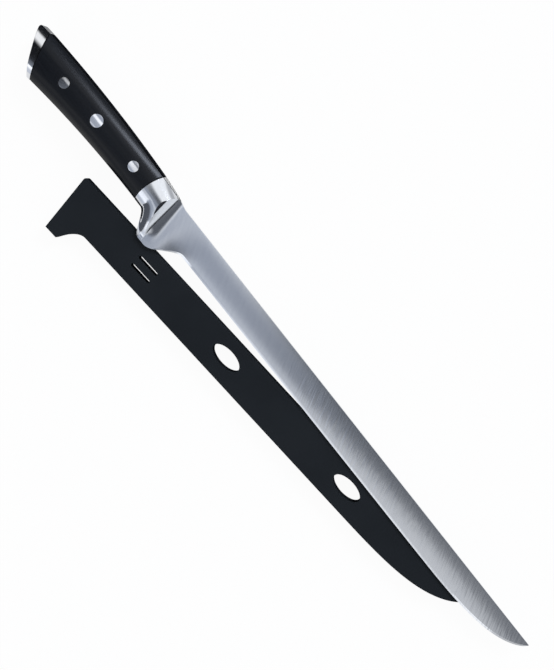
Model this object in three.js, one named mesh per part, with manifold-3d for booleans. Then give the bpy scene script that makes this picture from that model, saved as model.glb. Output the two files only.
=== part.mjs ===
// A ham knife lying across its blade sheath: a forged blade with a riveted handle, and a flat plate sheath.
// Millimetres, +Z up. The knife frame has x = 0 at the bolster's front, +X to the tip and +Y to the spine.
import * as THREE from 'three';
import { mergeVertices } from 'three/addons/utils/BufferGeometryUtils.js';
import Module from 'manifold-3d';

const wasm = await Module();
wasm.setup();
const { lerp, clamp, smoothstep, degToRad } = THREE.MathUtils;

// Blade
const bladeLength = 305;
const bladeSpineHeight = 8.7;
const bladeEdgeDepth = 8.6;
const spineFall = 1;
const spineThickness = 2.2;
const bevelWidth = 1.2;
const bevelThickness = 0.7;
const edgeThickness = 0.14;
const grindAllowance = 0.04;
const pointLength = 100;
const pointThickness = 1;
const pointFlat = 0.25;

// Heel, as places along the blade from the bolster's front
const heelDepth = 20.75;
const heelBack = -9.5;
const heelFull = 2.5;
const heelLeave = 7;
const heelEnd = 26;
const heelLand = 2.4;

// Bolster
const bolsterLength = 13.9;
const bolsterThickness = 16.6;
const bolsterSpineHeight = 10.2;
const jointBow = 1.4;
const jointSlant = 0.6;
const shoulderEnd = 9;
const facetFoot = 2.2;
const facetAngle = 57;
const facetSkew = 6.6;
const hollowRadius = 6.4;
const hollowAngle = 20;
const hollowEnd = 8;
const crestHeight = 7;
const crestAngle = 24;

// Handle
const gripThickness = 20;
const gripThickestAt = 80;
const gripSpineHeight = 12.8;
const gripSpinePeakAt = 67;
const gripBellyDepth = 8.6;
const gripWaistAt = 24;
const gripBellyRadius = 640;
const spineFlat = 11.2;
const bellyFlat = 7;
const tangThickness = 2.4;
const tangInset = 0.6;
const tangStep = 1;
const tangSeat = 4;

// End cap: its joint on the spine and belly lines behind the bolster's front, and its depth behind that
const capJointSpine = 111.5;
const capJointBelly = 99.8;
const capSpineDepth = 7.7;
const capBellyDepth = 2.3;
const buttSpine = capJointSpine + capSpineDepth;
const buttBelly = capJointBelly + capBellyDepth;
const buttCorner = 2.5;
const buttChamfer = 0.7;
const tenonHeight = 5;
const capFloor = 1.6;

// Rivets
const frontRivetAt = 27.7;
const middleRivetAt = 58.8;
const buttRivetAt = 85.4;
const rivetRise = 0.9;
const rivetHead = 6.1;
const middleRivetHead = 7.3;
const rivetHeadDepth = 2.6;
const rivetDome = 0.15;
const rivetShank = 4;
const rivetPin = 2.4;
const rivetPinReach = 3;

// Sheath, from its mouth corner on the spine side
const sheathLength = 309.5;
const sheathWidth = 22.9;
const mouthWidth = 34.6;
const mouthLean = 4.1;
const mouthCorner = 1.5;
const tabLength = 12.2;
const tabSweep = 11.5;
const noseLength = 94;
const plateThickness = 2;
const plateEdge = 0.6;
const weltThickness = 4.4;
const weltWidth = 2;
const windowLength = 19;
const windowWidth = 9.2;
const windowDepth = 10.8;
const nearWindowAt = 123.2;
const farWindowAt = 219.1;
const ventAt = 58;
const ventLength = 14;
const ventWidth = 1.8;
const ventPitch = 6;

// Clearances, and how the knife lies on the sheath
const fitGap = 0.25;
const bondGap = 0.1;
const restGap = 0.3;
const layAngle = 4.33;
const mouthSetback = 40.8;
const heelLap = 1.2;

// Form of the curves
const pointPower = 5;
const pointFullness = 0.7;
const nosePower = 4;
const noseFullness = 0.6;
const crownPower = 2.6;
const heelCrownPower = 2.2;
const bevelShare = 0.33;
const tenonShare = 0.72;
const domeShoulder = 0.66;

// Places across and along the pieces where their curves are sampled
const steelShares = [0, 0.05, 0.13, 0.24, 0.38, 0.52, 0.66, 0.78, 0.88, 0.95, 1];
const gripShares = [0, 0.04, 0.1, 0.2, 0.35, 0.5, 0.65, 0.8, 0.9, 0.96, 1];
const capRuns = [0.12, 0.4, 0.7, 1];
const collarSteps = 16;
const hollowSteps = 3;
const heelSteps = 8;
const straightSteps = 4;
const curveSteps = 16;
const cornerSteps = 4;
const pointCrowding = 1.6;
const roundSides = 28;
const windowSteps = 8;
const plateEdgeSteps = 2;

const spineHalf = spineThickness / 2;
const tangHalf = tangThickness / 2;
const gripHalf = gripThickness / 2;
const bolsterHalf = bolsterThickness / 2;
const sheathThickness = 2 * plateThickness + weltThickness + 2 * bondGap;

// Materials
const steel = (name, color, roughness) =>
  new THREE.MeshStandardMaterial({ name, color, roughness, metalness: 1 });
const satinSteel = steel('satin_steel', '#a9aeb6', 0.38);
const polishedSteel = steel('polished_steel', '#d3d6da', 0.1);
const rivetSteel = steel('rivet_steel', '#c6c9cd', 0.18);
const black = (name, color, roughness) => new THREE.MeshStandardMaterial({ name, color, roughness });
const blackScale = black('black_scale', '#15171a', 0.3);
const blackPlastic = black('black_plastic', '#22262a', 0.55);

// Solids for cutting and joining
function solidOf(geometry) {
  const bare = geometry.clone();
  bare.deleteAttribute('normal');
  bare.deleteAttribute('uv');
  const merged = mergeVertices(bare);
  const triVerts = new Uint32Array(merged.index.array);
  const vertProperties = new Float32Array(merged.attributes.position.array);
  return new wasm.Manifold(new wasm.Mesh({ numProp: 3, vertProperties, triVerts }));
}

function geometryOf(solid) {
  const { vertProperties, triVerts } = solid.getMesh();
  const geometry = new THREE.BufferGeometry();
  geometry.setAttribute('position', new THREE.BufferAttribute(vertProperties, 3));
  geometry.setIndex(new THREE.BufferAttribute(triVerts, 1));
  return geometry;
}

function meshOf(name, geometry, material) {
  const mesh = new THREE.Mesh(geometry, material.clone());
  mesh.name = name;
  return mesh;
}

// Closed body lofted through rows of columns, each column with a place, a top and a bottom
function loftBody(rows) {
  const across = rows[0].length;
  const columns = rows.flat();
  const tops = columns.map((column) => [column.x, column.y, column.top]);
  const bottoms = columns.map((column) => [column.x, column.y, column.bottom]);
  const top = (i, j) => i * across + j;
  const bottom = (i, j) => columns.length + i * across + j;
  const index = [];
  const quad = (a, b, c, d) => index.push(a, b, c, a, c, d);
  const last = rows.length - 1;
  const edge = across - 1;
  for (let i = 0; i < last; i++) {
    for (let j = 0; j < edge; j++) {
      quad(top(i, j), top(i + 1, j), top(i + 1, j + 1), top(i, j + 1));
      quad(bottom(i, j), bottom(i, j + 1), bottom(i + 1, j + 1), bottom(i + 1, j));
    }
    quad(bottom(i, 0), bottom(i + 1, 0), top(i + 1, 0), top(i, 0));
    quad(top(i, edge), top(i + 1, edge), bottom(i + 1, edge), bottom(i, edge));
  }
  for (let j = 0; j < edge; j++) {
    quad(bottom(0, j + 1), bottom(0, j), top(0, j), top(0, j + 1));
    quad(bottom(last, j), bottom(last, j + 1), top(last, j + 1), top(last, j));
  }
  const geometry = new THREE.BufferGeometry();
  geometry.setAttribute('position', new THREE.Float32BufferAttribute([...tops, ...bottoms].flat(), 3));
  geometry.setIndex(index);
  return geometry;
}

// Evenly spaced places from one value to another
function places(from, to, steps) {
  return Array.from({ length: steps + 1 }, (_, k) => lerp(from, to, k / steps));
}

// Outline of the knife: the spine line, and the belly, heel and cutting edge below it
function gripSpine(x) {
  const fall = gripSpineHeight - bolsterSpineHeight;
  return gripSpineHeight - fall * ((x + gripSpinePeakAt) / gripSpinePeakAt) ** 2;
}

function spineLine(x) {
  const bladeSpine = bladeSpineHeight - (spineFall * x) / bladeLength;
  return lerp(gripSpine(x), bladeSpine, smoothstep(x, 0, shoulderEnd));
}

function gripBelly(x) {
  return -gripBellyDepth - (x + gripWaistAt) ** 2 / (2 * gripBellyRadius);
}

function pointShare(x) {
  return clamp((x - bladeLength + pointLength) / pointLength, 0, 1);
}

function edgeLine(x) {
  const tip = bladeSpineHeight - spineFall - pointFlat;
  const sweep = 1 - (1 - pointShare(x) ** pointPower) ** pointFullness;
  const cutting = lerp(-bladeEdgeDepth, tip, sweep);
  const heel = lerp(gripBelly(x), -heelDepth, smoothstep(x, heelBack, heelFull));
  return lerp(heel, cutting, smoothstep(x, heelLeave, heelEnd));
}

// Line where the scales meet the bolster: a shallow bow, leaning a little, from the belly to the spine
function jointOffset(share) {
  const side = 2 * share - 1;
  return jointSlant * side - jointBow * (1 - side ** 2);
}

// Half thickness of the handle, a crowned barrel with a flat spine and a narrower belly
function gripThicknessAt(x) {
  const run = (x + gripThickestAt) / (gripThickestAt - bolsterLength);
  return gripHalf - (gripHalf - bolsterHalf) * run ** 2;
}

function crown(full, land, share, power) {
  return full - (full - land) * clamp(share, 0, 1) ** power;
}

function gripSide(x, y) {
  const middle = (gripSpine(x) + gripBelly(x)) / 2;
  const reach = (gripSpine(x) - gripBelly(x)) / 2;
  const land = y > middle ? spineFlat / 2 : bellyFlat / 2;
  return crown(gripThicknessAt(x), land, Math.abs(y - middle) / reach, crownPower);
}

// Half thickness of the bolster, which flares down to the heel and thins to the blade there
function bolsterSide(x, y) {
  const middle = (gripSpine(x) + gripBelly(x)) / 2;
  const forward = clamp((x + bolsterLength) / (bolsterLength + facetFoot), 0, 1);
  const flare = smoothstep(x, heelBack, heelFull);
  const full = gripThicknessAt(x);
  if (y > middle) {
    const land = lerp(spineFlat / 2, spineHalf, forward);
    return crown(full, land, (y - middle) / (spineLine(x) - middle), crownPower);
  }
  const land = lerp(bellyFlat / 2, spineHalf, flare);
  const foot = edgeLine(x) + heelLand * flare;
  return crown(full, land, (middle - y) / (middle - foot), lerp(crownPower, heelCrownPower, flare));
}

// Half thickness of the blade: flat ground faces, full stock at the heel, thinner towards the point
function bladeSide(x, y) {
  const slope = (spineHalf - bevelThickness / 2) / (bladeSpineHeight + bladeEdgeDepth - bevelWidth);
  const ground = spineHalf - slope * (bladeSpineHeight - y);
  const taper = lerp(1, pointThickness / spineThickness, pointShare(x) ** 2);
  return lerp(spineHalf, ground * taper, smoothstep(x, heelLeave, heelEnd));
}

// Steel outline across the blade: the sharpened bevel first, then up to the spine
function steelRow(station, side) {
  const depth = spineLine(station) - edgeLine(station);
  const bevel = Math.min(bevelWidth, depth * bevelShare) / depth;
  const shares = [0, ...steelShares.map((share) => lerp(bevel, 1, share))];
  const bowed = clamp(-station / bolsterLength, 0, 1);
  const sharpened = smoothstep(station, heelLeave, heelEnd);
  return shares.map((share, j) => {
    const x = station + bowed * jointOffset(share);
    const y = lerp(edgeLine(x), spineLine(x), share);
    const full = side(x, y);
    const half = j === 0 ? lerp(full, edgeThickness / 2, sharpened) : full;
    return { x, y, top: half, bottom: -half };
  });
}

// Wedge that cuts the bolster's leaf-shaped facets, the crests above them and shallow hollows before them
function facetWedge() {
  const square = Math.PI / 2;
  const hollow = degToRad(hollowAngle);
  const facetSlope = Math.tan(degToRad(facetAngle));
  const deep = gripThickness;
  const stock = spineHalf + grindAllowance;
  const crestAt = facetFoot - (crestHeight - stock) / facetSlope;
  const shoulder = crestAt - (deep - crestHeight) / Math.tan(degToRad(crestAngle));
  const back = Math.min(shoulder, -bolsterLength - jointBow) - tangSeat;
  const hollowRise = hollowRadius * (1 - Math.cos(hollow));
  const centre = facetFoot - hollowRise / facetSlope + hollowRadius * Math.sin(hollow);
  const far = bladeLength + tangSeat;
  const profile = new THREE.Shape();
  profile.moveTo(back, -deep);
  profile.lineTo(shoulder, -deep);
  profile.lineTo(crestAt, -crestHeight);
  profile.absarc(centre, -stock - hollowRadius, hollowRadius, square + hollow, square, true);
  profile.lineTo(far, -stock);
  profile.lineTo(far, stock);
  profile.absarc(centre, stock + hollowRadius, hollowRadius, -square, -square - hollow, true);
  profile.lineTo(crestAt, crestHeight);
  profile.lineTo(shoulder, deep);
  profile.lineTo(back, deep);
  profile.closePath();
  const settings = { depth: bladeLength, bevelEnabled: false, curveSegments: hollowSteps };
  const geometry = new THREE.ExtrudeGeometry(profile, settings);
  geometry.rotateX(square);
  geometry.translate(0, bladeLength / 2, 0);
  geometry.rotateZ(degToRad(facetSkew));
  return solidOf(geometry);
}

// Lines across the handle from the belly to the spine, for the cap's joint and the butt
function acrossGrip(bellyX, spineX, share) {
  const low = new THREE.Vector2(bellyX, gripBelly(bellyX));
  const high = new THREE.Vector2(spineX, gripSpine(spineX));
  return low.lerp(high, share);
}

// Tenon of the tang in the cap, as long as the cap's floor allows at the pocket's lower corner
const capHeight = gripSpine(-capJointSpine) - gripBelly(-capJointBelly);
const pocketHeight = tenonHeight + 2 * fitGap;
const pocketLow = tenonShare - pocketHeight / 2 / capHeight;
const pocketEnd = acrossGrip(-buttBelly, -buttSpine, pocketLow).x + capFloor;
const tenonCentre = acrossGrip(-capJointBelly, -capJointSpine, tenonShare);
const tenonLength = tenonCentre.x - pocketEnd - bondGap;

// Rivets: place, head size and height of the handle's side there
const rivets = [
  { name: 'front_rivet', x: -frontRivetAt, head: rivetHead },
  { name: 'middle_rivet', x: -middleRivetAt, head: middleRivetHead },
  { name: 'butt_rivet', x: -buttRivetAt, head: rivetHead },
].map((rivet) => {
  const y = (gripSpine(rivet.x) + gripBelly(rivet.x)) / 2 + rivetRise;
  return { ...rivet, y, side: gripSide(rivet.x, y) };
});

function upright(radius, from, to, x, y) {
  const geometry = new THREE.CylinderGeometry(radius, radius, to - from, roundSides);
  geometry.rotateX(Math.PI / 2);
  geometry.translate(x, y, (from + to) / 2);
  return solidOf(geometry);
}

// Full tang: flat stock let in from the handle's outline, with a tenon for the end cap and rivet holes
function tangSolid() {
  const front = -bolsterLength;
  const insetShare = tangInset / capHeight;
  const spineEnd = acrossGrip(bondGap - capJointBelly, bondGap - capJointSpine, 1 - insetShare);
  const bellyEnd = acrossGrip(bondGap - capJointBelly, bondGap - capJointSpine, insetShare);
  const outline = new THREE.Shape();
  const seatSpine = gripSpine(front) - tangInset - tangStep;
  const seatBelly = gripBelly(front) + tangInset + tangStep;
  outline.moveTo(front + tangSeat, seatBelly);
  outline.lineTo(front + tangSeat, seatSpine);
  outline.lineTo(front, seatSpine);
  for (const x of places(front, spineEnd.x, curveSteps)) outline.lineTo(x, gripSpine(x) - tangInset);
  for (const x of places(bellyEnd.x, front, curveSteps)) outline.lineTo(x, gripBelly(x) + tangInset);
  outline.lineTo(front, seatBelly);
  outline.closePath();
  const plate = new THREE.ExtrudeGeometry(outline, { depth: tangThickness, bevelEnabled: false });
  plate.translate(0, 0, -tangHalf);
  const tenon = new THREE.BoxGeometry(tenonLength + tangSeat, tenonHeight, tangThickness);
  tenon.translate(tenonCentre.x + (tangSeat - tenonLength) / 2, tenonCentre.y, 0);
  let tang = solidOf(plate).add(solidOf(tenon));
  for (const { x, y } of rivets) {
    tang = tang.subtract(upright(rivetShank / 2 + fitGap, -tangThickness, tangThickness, x, y));
  }
  return tang;
}

function makeBlade() {
  const collar = places(-bolsterLength, hollowEnd, collarSteps).map((x) => steelRow(x, bolsterSide));
  const heel = places(hollowEnd, heelEnd, heelSteps).map((x) => steelRow(x, bladeSide));
  const straight = places(heelEnd, bladeLength - pointLength, straightSteps).slice(1);
  const point = places(0, 1, curveSteps).slice(1);
  const sweep = point.map((share) => bladeLength - pointLength * (1 - share) ** pointCrowding);
  const flats = [...straight, ...sweep].map((x) => steelRow(x, bladeSide));
  const body = solidOf(loftBody([...collar, ...heel, ...flats]));
  return meshOf('blade', geometryOf(body.intersect(facetWedge()).add(tangSolid())), satinSteel);
}

// Handle scale on the right side, from the end cap's joint to the bolster; the left one is its mirror
function makeScale(name, side) {
  const front = -bolsterLength - fitGap;
  const inner = tangHalf + bondGap;
  const rows = places(0, 1, curveSteps).map((run) =>
    gripShares.map((share) => {
      const bellyX = lerp(fitGap - capJointBelly, front, run);
      const spineX = lerp(fitGap - capJointSpine, front, run);
      const straight = acrossGrip(bellyX, spineX, share);
      const x = straight.x + run * jointOffset(share);
      const outer = gripSide(x, straight.y);
      const [top, bottom] = side > 0 ? [outer, inner] : [-inner, -outer];
      return { x, y: straight.y, top, bottom };
    }),
  );
  let scale = solidOf(loftBody(rows));
  for (const rivet of rivets) {
    const outside = side * (rivet.side + rivetHeadDepth);
    const seat = side * (rivet.side - rivetHeadDepth - bondGap);
    const shankHole = [0, outside].sort((a, b) => a - b);
    const headHole = [seat, outside].sort((a, b) => a - b);
    scale = scale.subtract(upright(rivetShank / 2 + fitGap, ...shankHole, rivet.x, rivet.y));
    scale = scale.subtract(upright(rivet.head / 2 + fitGap, ...headHole, rivet.x, rivet.y));
  }
  return meshOf(name, geometryOf(scale), blackScale);
}

// End cap: a wedge that carries on the handle's section, with a round spine corner and a tenon pocket
function makeEndCap() {
  const cornerShare = buttCorner / (gripSpine(-buttSpine) - gripBelly(-buttBelly));
  const rounding = (share) => {
    const over = clamp((share - 1 + cornerShare) / cornerShare, 0, 1);
    return buttCorner * (1 - Math.sqrt(1 - over ** 2));
  };
  const corner = places(1 - cornerShare, 1, cornerSteps);
  const shares = [...gripShares.slice(0, -2), ...corner].sort((a, b) => a - b);
  const row = (run, inset) =>
    shares.map((share) => {
      const butt = acrossGrip(-buttBelly, -buttSpine, share);
      const joint = acrossGrip(-capJointBelly, -capJointSpine, share);
      const { x, y } = butt.lerp(joint, run);
      const half = gripSide(x, y) - inset;
      return { x: x + rounding(share) * (1 - run), y, top: half, bottom: -half };
    });
  const rows = [row(0, buttChamfer), ...capRuns.map((run) => row(run, 0))];
  const reach = tenonCentre.x - pocketEnd + tangSeat;
  const pocket = new THREE.BoxGeometry(reach, pocketHeight, tangThickness + 2 * fitGap);
  pocket.translate(pocketEnd + reach / 2, tenonCentre.y, 0);
  const cap = solidOf(loftBody(rows)).subtract(solidOf(pocket));
  return meshOf('end_cap', geometryOf(cap), polishedSteel);
}

// Cutler's rivets: a hollow half from the right side and a pin half from the left
function turned(points) {
  const profile = points.map(([radius, height]) => new THREE.Vector2(radius, height));
  const geometry = new THREE.LatheGeometry(profile, roundSides);
  geometry.rotateX(Math.PI / 2);
  return geometry;
}

function domedHead({ head, side }) {
  return [
    [head / 2, side - rivetHeadDepth],
    [head / 2, side - rivetDome],
    [(domeShoulder * head) / 2, side - rivetDome * domeShoulder ** 2],
    [0, side],
  ];
}

function makeRivet(rivet) {
  const shank = rivetShank / 2;
  const pin = rivetPin / 2;
  const seat = rivet.side - rivetHeadDepth;
  const bore = pin + bondGap;
  const cup = turned([
    [0, rivetPinReach + fitGap],
    [bore, rivetPinReach + fitGap],
    [bore, bondGap],
    [shank, bondGap],
    [shank, seat],
    ...domedHead(rivet),
  ]);
  const stem = turned([
    [0, -rivetPinReach],
    [pin, -rivetPinReach],
    [pin, bondGap],
    [shank, bondGap],
    [shank, seat],
    ...domedHead(rivet),
  ]);
  stem.rotateX(Math.PI);
  const halves = [
    meshOf(`${rivet.name}_cup`, cup, rivetSteel),
    meshOf(`${rivet.name}_pin`, stem, rivetSteel),
  ];
  for (const half of halves) half.position.set(rivet.x, rivet.y, 0);
  return halves;
}

// Sheath outline, drawn in by an inset, with its mouth moved out by a reach
function sheathOutline(inset, mouthReach) {
  const spine = -inset;
  const body = inset - sheathWidth;
  const tab = inset - mouthWidth;
  const sweepStart = tabLength - inset;
  const noseEnd = sheathLength - inset;
  const outline = new THREE.Shape();
  outline.moveTo(mouthCorner - mouthReach, spine);
  outline.quadraticCurveTo(-mouthReach, spine, -mouthReach, spine - mouthCorner);
  outline.lineTo(mouthLean - mouthReach, tab);
  outline.lineTo(sweepStart, tab);
  outline.quadraticCurveTo(sweepStart + tabSweep / 2, body, sweepStart + tabSweep, body);
  for (const step of places(0, 1, curveSteps)) {
    const share = 1 - (1 - step) ** 2;
    const depth = (1 - share ** nosePower) ** noseFullness;
    outline.lineTo(lerp(sheathLength - noseLength, noseEnd, share), lerp(spine, body, depth));
  }
  outline.closePath();
  return outline;
}

function ovalWindow(at) {
  const oval = new THREE.Path();
  oval.absellipse(at, -windowDepth, windowLength / 2, windowWidth / 2, 0, 2 * Math.PI, true);
  return oval;
}

function ventSlot(depth) {
  const radius = ventWidth / 2;
  const run = ventLength / 2 - radius;
  const slot = new THREE.Path();
  slot.absarc(ventAt + run, -depth, radius, Math.PI / 2, -Math.PI / 2, true);
  slot.absarc(ventAt - run, -depth, radius, -Math.PI / 2, -1.5 * Math.PI, true);
  slot.closePath();
  return slot;
}

function extruded(outline, from, to) {
  const geometry = new THREE.ExtrudeGeometry(outline, { depth: to - from, bevelEnabled: false });
  geometry.translate(0, 0, from);
  return solidOf(geometry);
}

function slab(from, to, depthFrom, depthTo) {
  const geometry = new THREE.BoxGeometry(2 * sheathLength, depthFrom - depthTo, to - from);
  geometry.translate(sheathLength / 2, (depthFrom + depthTo) / 2, (from + to) / 2);
  return solidOf(geometry);
}

// Sheath plate with rounded outer edges, its outside facing up
function makePlate(name) {
  const outline = sheathOutline(0, 0);
  outline.holes.push(ovalWindow(nearWindowAt), ovalWindow(farWindowAt));
  outline.holes.push(ventSlot(windowDepth - ventPitch / 2), ventSlot(windowDepth + ventPitch / 2));
  const rounded = new THREE.ExtrudeGeometry(outline, {
    depth: 2 * (plateThickness - plateEdge),
    bevelThickness: plateEdge,
    bevelSize: plateEdge,
    bevelOffset: -plateEdge,
    bevelSegments: plateEdgeSteps,
    curveSegments: windowSteps,
  });
  rounded.translate(0, 0, plateEdge - plateThickness);
  const innerHalf = slab(-2 * plateThickness, 0, mouthWidth, -2 * mouthWidth);
  return meshOf(name, geometryOf(solidOf(rounded).subtract(innerHalf)), blackPlastic);
}

// Spacer strips between the plates: a straight one on the spine side, a curved one on the edge side
function makeWelts() {
  const bottom = plateThickness + bondGap;
  const top = bottom + weltThickness;
  const frame = extruded(sheathOutline(0, 0), bottom, top);
  const slot = extruded(sheathOutline(weltWidth, mouthWidth), bottom - plateThickness, top + plateThickness);
  const strips = frame.subtract(slot);
  const spineSide = slab(bottom - plateThickness, top + plateThickness, mouthWidth, -weltWidth);
  const edgeSide = slab(bottom - plateThickness, top + plateThickness, mouthWidth, -weltWidth - fitGap);
  return [
    meshOf('sheath_spine_welt', geometryOf(strips.intersect(spineSide)), blackPlastic),
    meshOf('sheath_edge_welt', geometryOf(strips.subtract(edgeSide)), blackPlastic),
  ];
}

function makeSheath() {
  const sheath = new THREE.Group();
  const front = makePlate('sheath_front_plate');
  front.position.z = sheathThickness - plateThickness;
  const back = makePlate('sheath_back_plate');
  back.geometry.scale(1, 1, -1);
  back.geometry.index.array.reverse();
  back.position.z = plateThickness;
  sheath.add(front, back, ...makeWelts());
  return sheath;
}

function makeKnife() {
  const knife = new THREE.Group();
  knife.add(makeBlade(), makeEndCap());
  knife.add(makeScale('handle_scale_right', 1), makeScale('handle_scale_left', -1));
  for (const rivet of rivets) knife.add(...makeRivet(rivet));
  return knife;
}

// The sheath lies flat, turned a little, with its spine side just under the heel
function laySheath(sheath) {
  const turn = degToRad(layAngle);
  const heelTip = (heelFull + heelLeave) / 2;
  sheath.rotation.z = turn;
  const edgeAtHeel = heelLap - heelDepth;
  sheath.position.set(-mouthSetback, edgeAtHeel - (heelTip + mouthSetback) * Math.tan(turn), 0);
}

// The knife lies on its handle with the blade on the sheath, tipped if their heights differ
function layKnife(knife) {
  const bladeLevel = sheathThickness + restGap + spineHalf;
  const rise = gripHalf - bladeLevel;
  const restAt = rise > 0 ? sheathLength - mouthSetback : heelFull;
  const pitch = Math.asin(rise / (gripThickestAt + restAt));
  knife.rotation.y = pitch;
  knife.position.set(0, 0, bladeLevel + restAt * Math.sin(pitch));
}

// The object's frame has its origin under the middle of the whole
const object = new THREE.Group();
const knife = makeKnife();
const sheath = makeSheath();
layKnife(knife);
laySheath(sheath);
object.add(knife, sheath);
const box = new THREE.Box3().setFromObject(object, true);
object.position.set(-(box.min.x + box.max.x) / 2, -(box.min.y + box.max.y) / 2, -box.min.z);

export default object;
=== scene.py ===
"""A ham knife lying across its blade sheath: fine surfaces, finishes, light and camera, in metres."""
import math

import bmesh
import bpy
from mathutils import Matrix, Vector


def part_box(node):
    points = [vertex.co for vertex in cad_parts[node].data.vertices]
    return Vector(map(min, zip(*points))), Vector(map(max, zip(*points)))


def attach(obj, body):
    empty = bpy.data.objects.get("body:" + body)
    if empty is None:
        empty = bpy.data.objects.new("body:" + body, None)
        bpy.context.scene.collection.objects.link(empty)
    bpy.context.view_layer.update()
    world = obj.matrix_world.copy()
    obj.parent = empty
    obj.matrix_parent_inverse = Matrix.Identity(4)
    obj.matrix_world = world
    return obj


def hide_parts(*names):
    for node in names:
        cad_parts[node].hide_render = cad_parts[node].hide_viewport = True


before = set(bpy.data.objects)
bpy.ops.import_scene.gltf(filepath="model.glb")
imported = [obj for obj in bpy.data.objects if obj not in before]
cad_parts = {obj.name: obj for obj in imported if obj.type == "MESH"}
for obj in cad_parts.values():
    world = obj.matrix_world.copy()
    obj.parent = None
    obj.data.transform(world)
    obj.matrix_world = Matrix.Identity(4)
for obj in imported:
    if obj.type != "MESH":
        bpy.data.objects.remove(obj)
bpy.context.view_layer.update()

# Blade
BLADE_LENGTH = 0.305
BLADE_SPINE_HEIGHT = 0.0087
BLADE_EDGE_DEPTH = 0.0086
SPINE_FALL = 0.001
SPINE_THICKNESS = 0.0022
BEVEL_WIDTH = 0.0012
BEVEL_THICKNESS = 0.0007
EDGE_THICKNESS = 0.00014
POINT_LENGTH = 0.1
POINT_THICKNESS = 0.001
POINT_FLAT = 0.00025
POINT_POWER = 5
POINT_FULLNESS = 0.7
GRIND_CONVEXITY = 1.0
GRIND_START = 0.011
GRIND_END = 0.034
HEEL_EASE = 0.12

# Heel and bolster, as places along the blade from the bolster's front
HEEL_DEPTH = 0.02075
HEEL_BACK = -0.0095
HEEL_FULL = 0.0025
HEEL_LEAVE = 0.007
HEEL_END = 0.026
HEEL_LAND = 0.0024
HEEL_BLEND = 0.0007
BOLSTER_LENGTH = 0.0139
JOINT_BOW = 0.0014
JOINT_SLANT = 0.0006
BOLSTER_THICKNESS = 0.0166
BOLSTER_SPINE_HEIGHT = 0.0102
SHOULDER_END = 0.009
FACET_FOOT = 0.0022
FACET_SKEW = 0.116
FACET_ANGLE = math.radians(57)
HOLLOW_LENGTH = 0.0055
HOLLOW_FAN = 0.13
HOLLOW_POWER = 2.5
HOLLOW_ANGLE = math.radians(11)
HOLLOW_FOOT = -0.0185
HOLLOW_FULL = -0.0105
CREST_HEIGHT = 0.0070
CREST_ANGLE = math.radians(24)

# Handle
GRIP_THICKNESS = 0.02
GRIP_THICKEST_AT = 0.08
GRIP_SPINE_HEIGHT = 0.0128
GRIP_SPINE_PEAK_AT = 0.067
GRIP_BELLY_DEPTH = 0.0086
GRIP_WAIST_AT = 0.024
GRIP_BELLY_RADIUS = 0.64
SPINE_FLAT = 0.0112
BELLY_FLAT = 0.007
TANG_THICKNESS = 0.0024
TANG_INSET = 0.0006
CROWN_POWER = 2.6
HEEL_CROWN_POWER = 2.2

# End cap, as places on the spine and belly lines behind the bolster's front
CAP_JOINT_SPINE = 0.1115
CAP_JOINT_BELLY = 0.0998
BUTT_SPINE = 0.1192
BUTT_BELLY = 0.1021
BUTT_CORNER = 0.0025
BUTT_ROUND = 0.0009

# Rivets
FRONT_RIVET_AT = 0.0277
MIDDLE_RIVET_AT = 0.0588
BUTT_RIVET_AT = 0.0854
RIVET_RISE = 0.0009
RIVET_HEAD = 0.0061
MIDDLE_RIVET_HEAD = 0.0073
RIVET_HEAD_DEPTH = 0.0026
RIVET_SHANK = 0.004

# Sheath, from its mouth corner on the spine side
SHEATH_LENGTH = 0.3095
SHEATH_WIDTH = 0.0229
MOUTH_WIDTH = 0.0346
MOUTH_LEAN = 0.0041
MOUTH_CORNER = 0.0015
TAB_LENGTH = 0.0122
TAB_SWEEP = 0.0115
NOSE_LENGTH = 0.094
NOSE_POWER = 4
NOSE_FULLNESS = 0.6
PLATE_THICKNESS = 0.002
PLATE_EDGE = 0.0006
WINDOW_LENGTH = 0.019
WINDOW_WIDTH = 0.0092
WINDOW_DEPTH = 0.0108
NEAR_WINDOW_AT = 0.1232
FAR_WINDOW_AT = 0.2191
VENT_AT = 0.058
VENT_LENGTH = 0.014
VENT_WIDTH = 0.0018
VENT_PITCH = 0.006

# Clearances, and how the knife lies on the sheath
FIT_GAP = 0.00025
BOND_GAP = 0.0001
LAY_ANGLE = math.radians(4.33)
MOUTH_SETBACK = 0.0408
HEEL_LAP = 0.0012

SPINE_HALF = SPINE_THICKNESS / 2
TANG_HALF = TANG_THICKNESS / 2
FACET_SLOPE = math.tan(FACET_ANGLE)
CREST_AT = FACET_FOOT - (CREST_HEIGHT - SPINE_HALF) / FACET_SLOPE


# Curves
def lerp(start, end, share):
    return start + (end - start) * share


def clamp(value):
    return min(max(value, 0.0), 1.0)


def smoothstep(value, start, end):
    share = clamp((value - start) / (end - start))
    return share * share * (3 - 2 * share)


def places(start, end, steps):
    """Evenly spaced places from one value to another."""
    return [lerp(start, end, step / steps) for step in range(steps + 1)]


# Outline of the knife, with x = 0 at the bolster's front, +X to the tip and +Y to the spine
def grip_spine(x):
    fall = GRIP_SPINE_HEIGHT - BOLSTER_SPINE_HEIGHT
    return GRIP_SPINE_HEIGHT - fall * ((x + GRIP_SPINE_PEAK_AT) / GRIP_SPINE_PEAK_AT) ** 2


def grip_belly(x):
    return -GRIP_BELLY_DEPTH - (x + GRIP_WAIST_AT) ** 2 / (2 * GRIP_BELLY_RADIUS)


def grip_middle(x):
    return (grip_spine(x) + grip_belly(x)) / 2


def spine_line(x):
    blade_spine = BLADE_SPINE_HEIGHT - SPINE_FALL * x / BLADE_LENGTH
    return lerp(grip_spine(x), blade_spine, smoothstep(x, 0, SHOULDER_END))


def point_share(x):
    return clamp((x - BLADE_LENGTH + POINT_LENGTH) / POINT_LENGTH)


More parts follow.
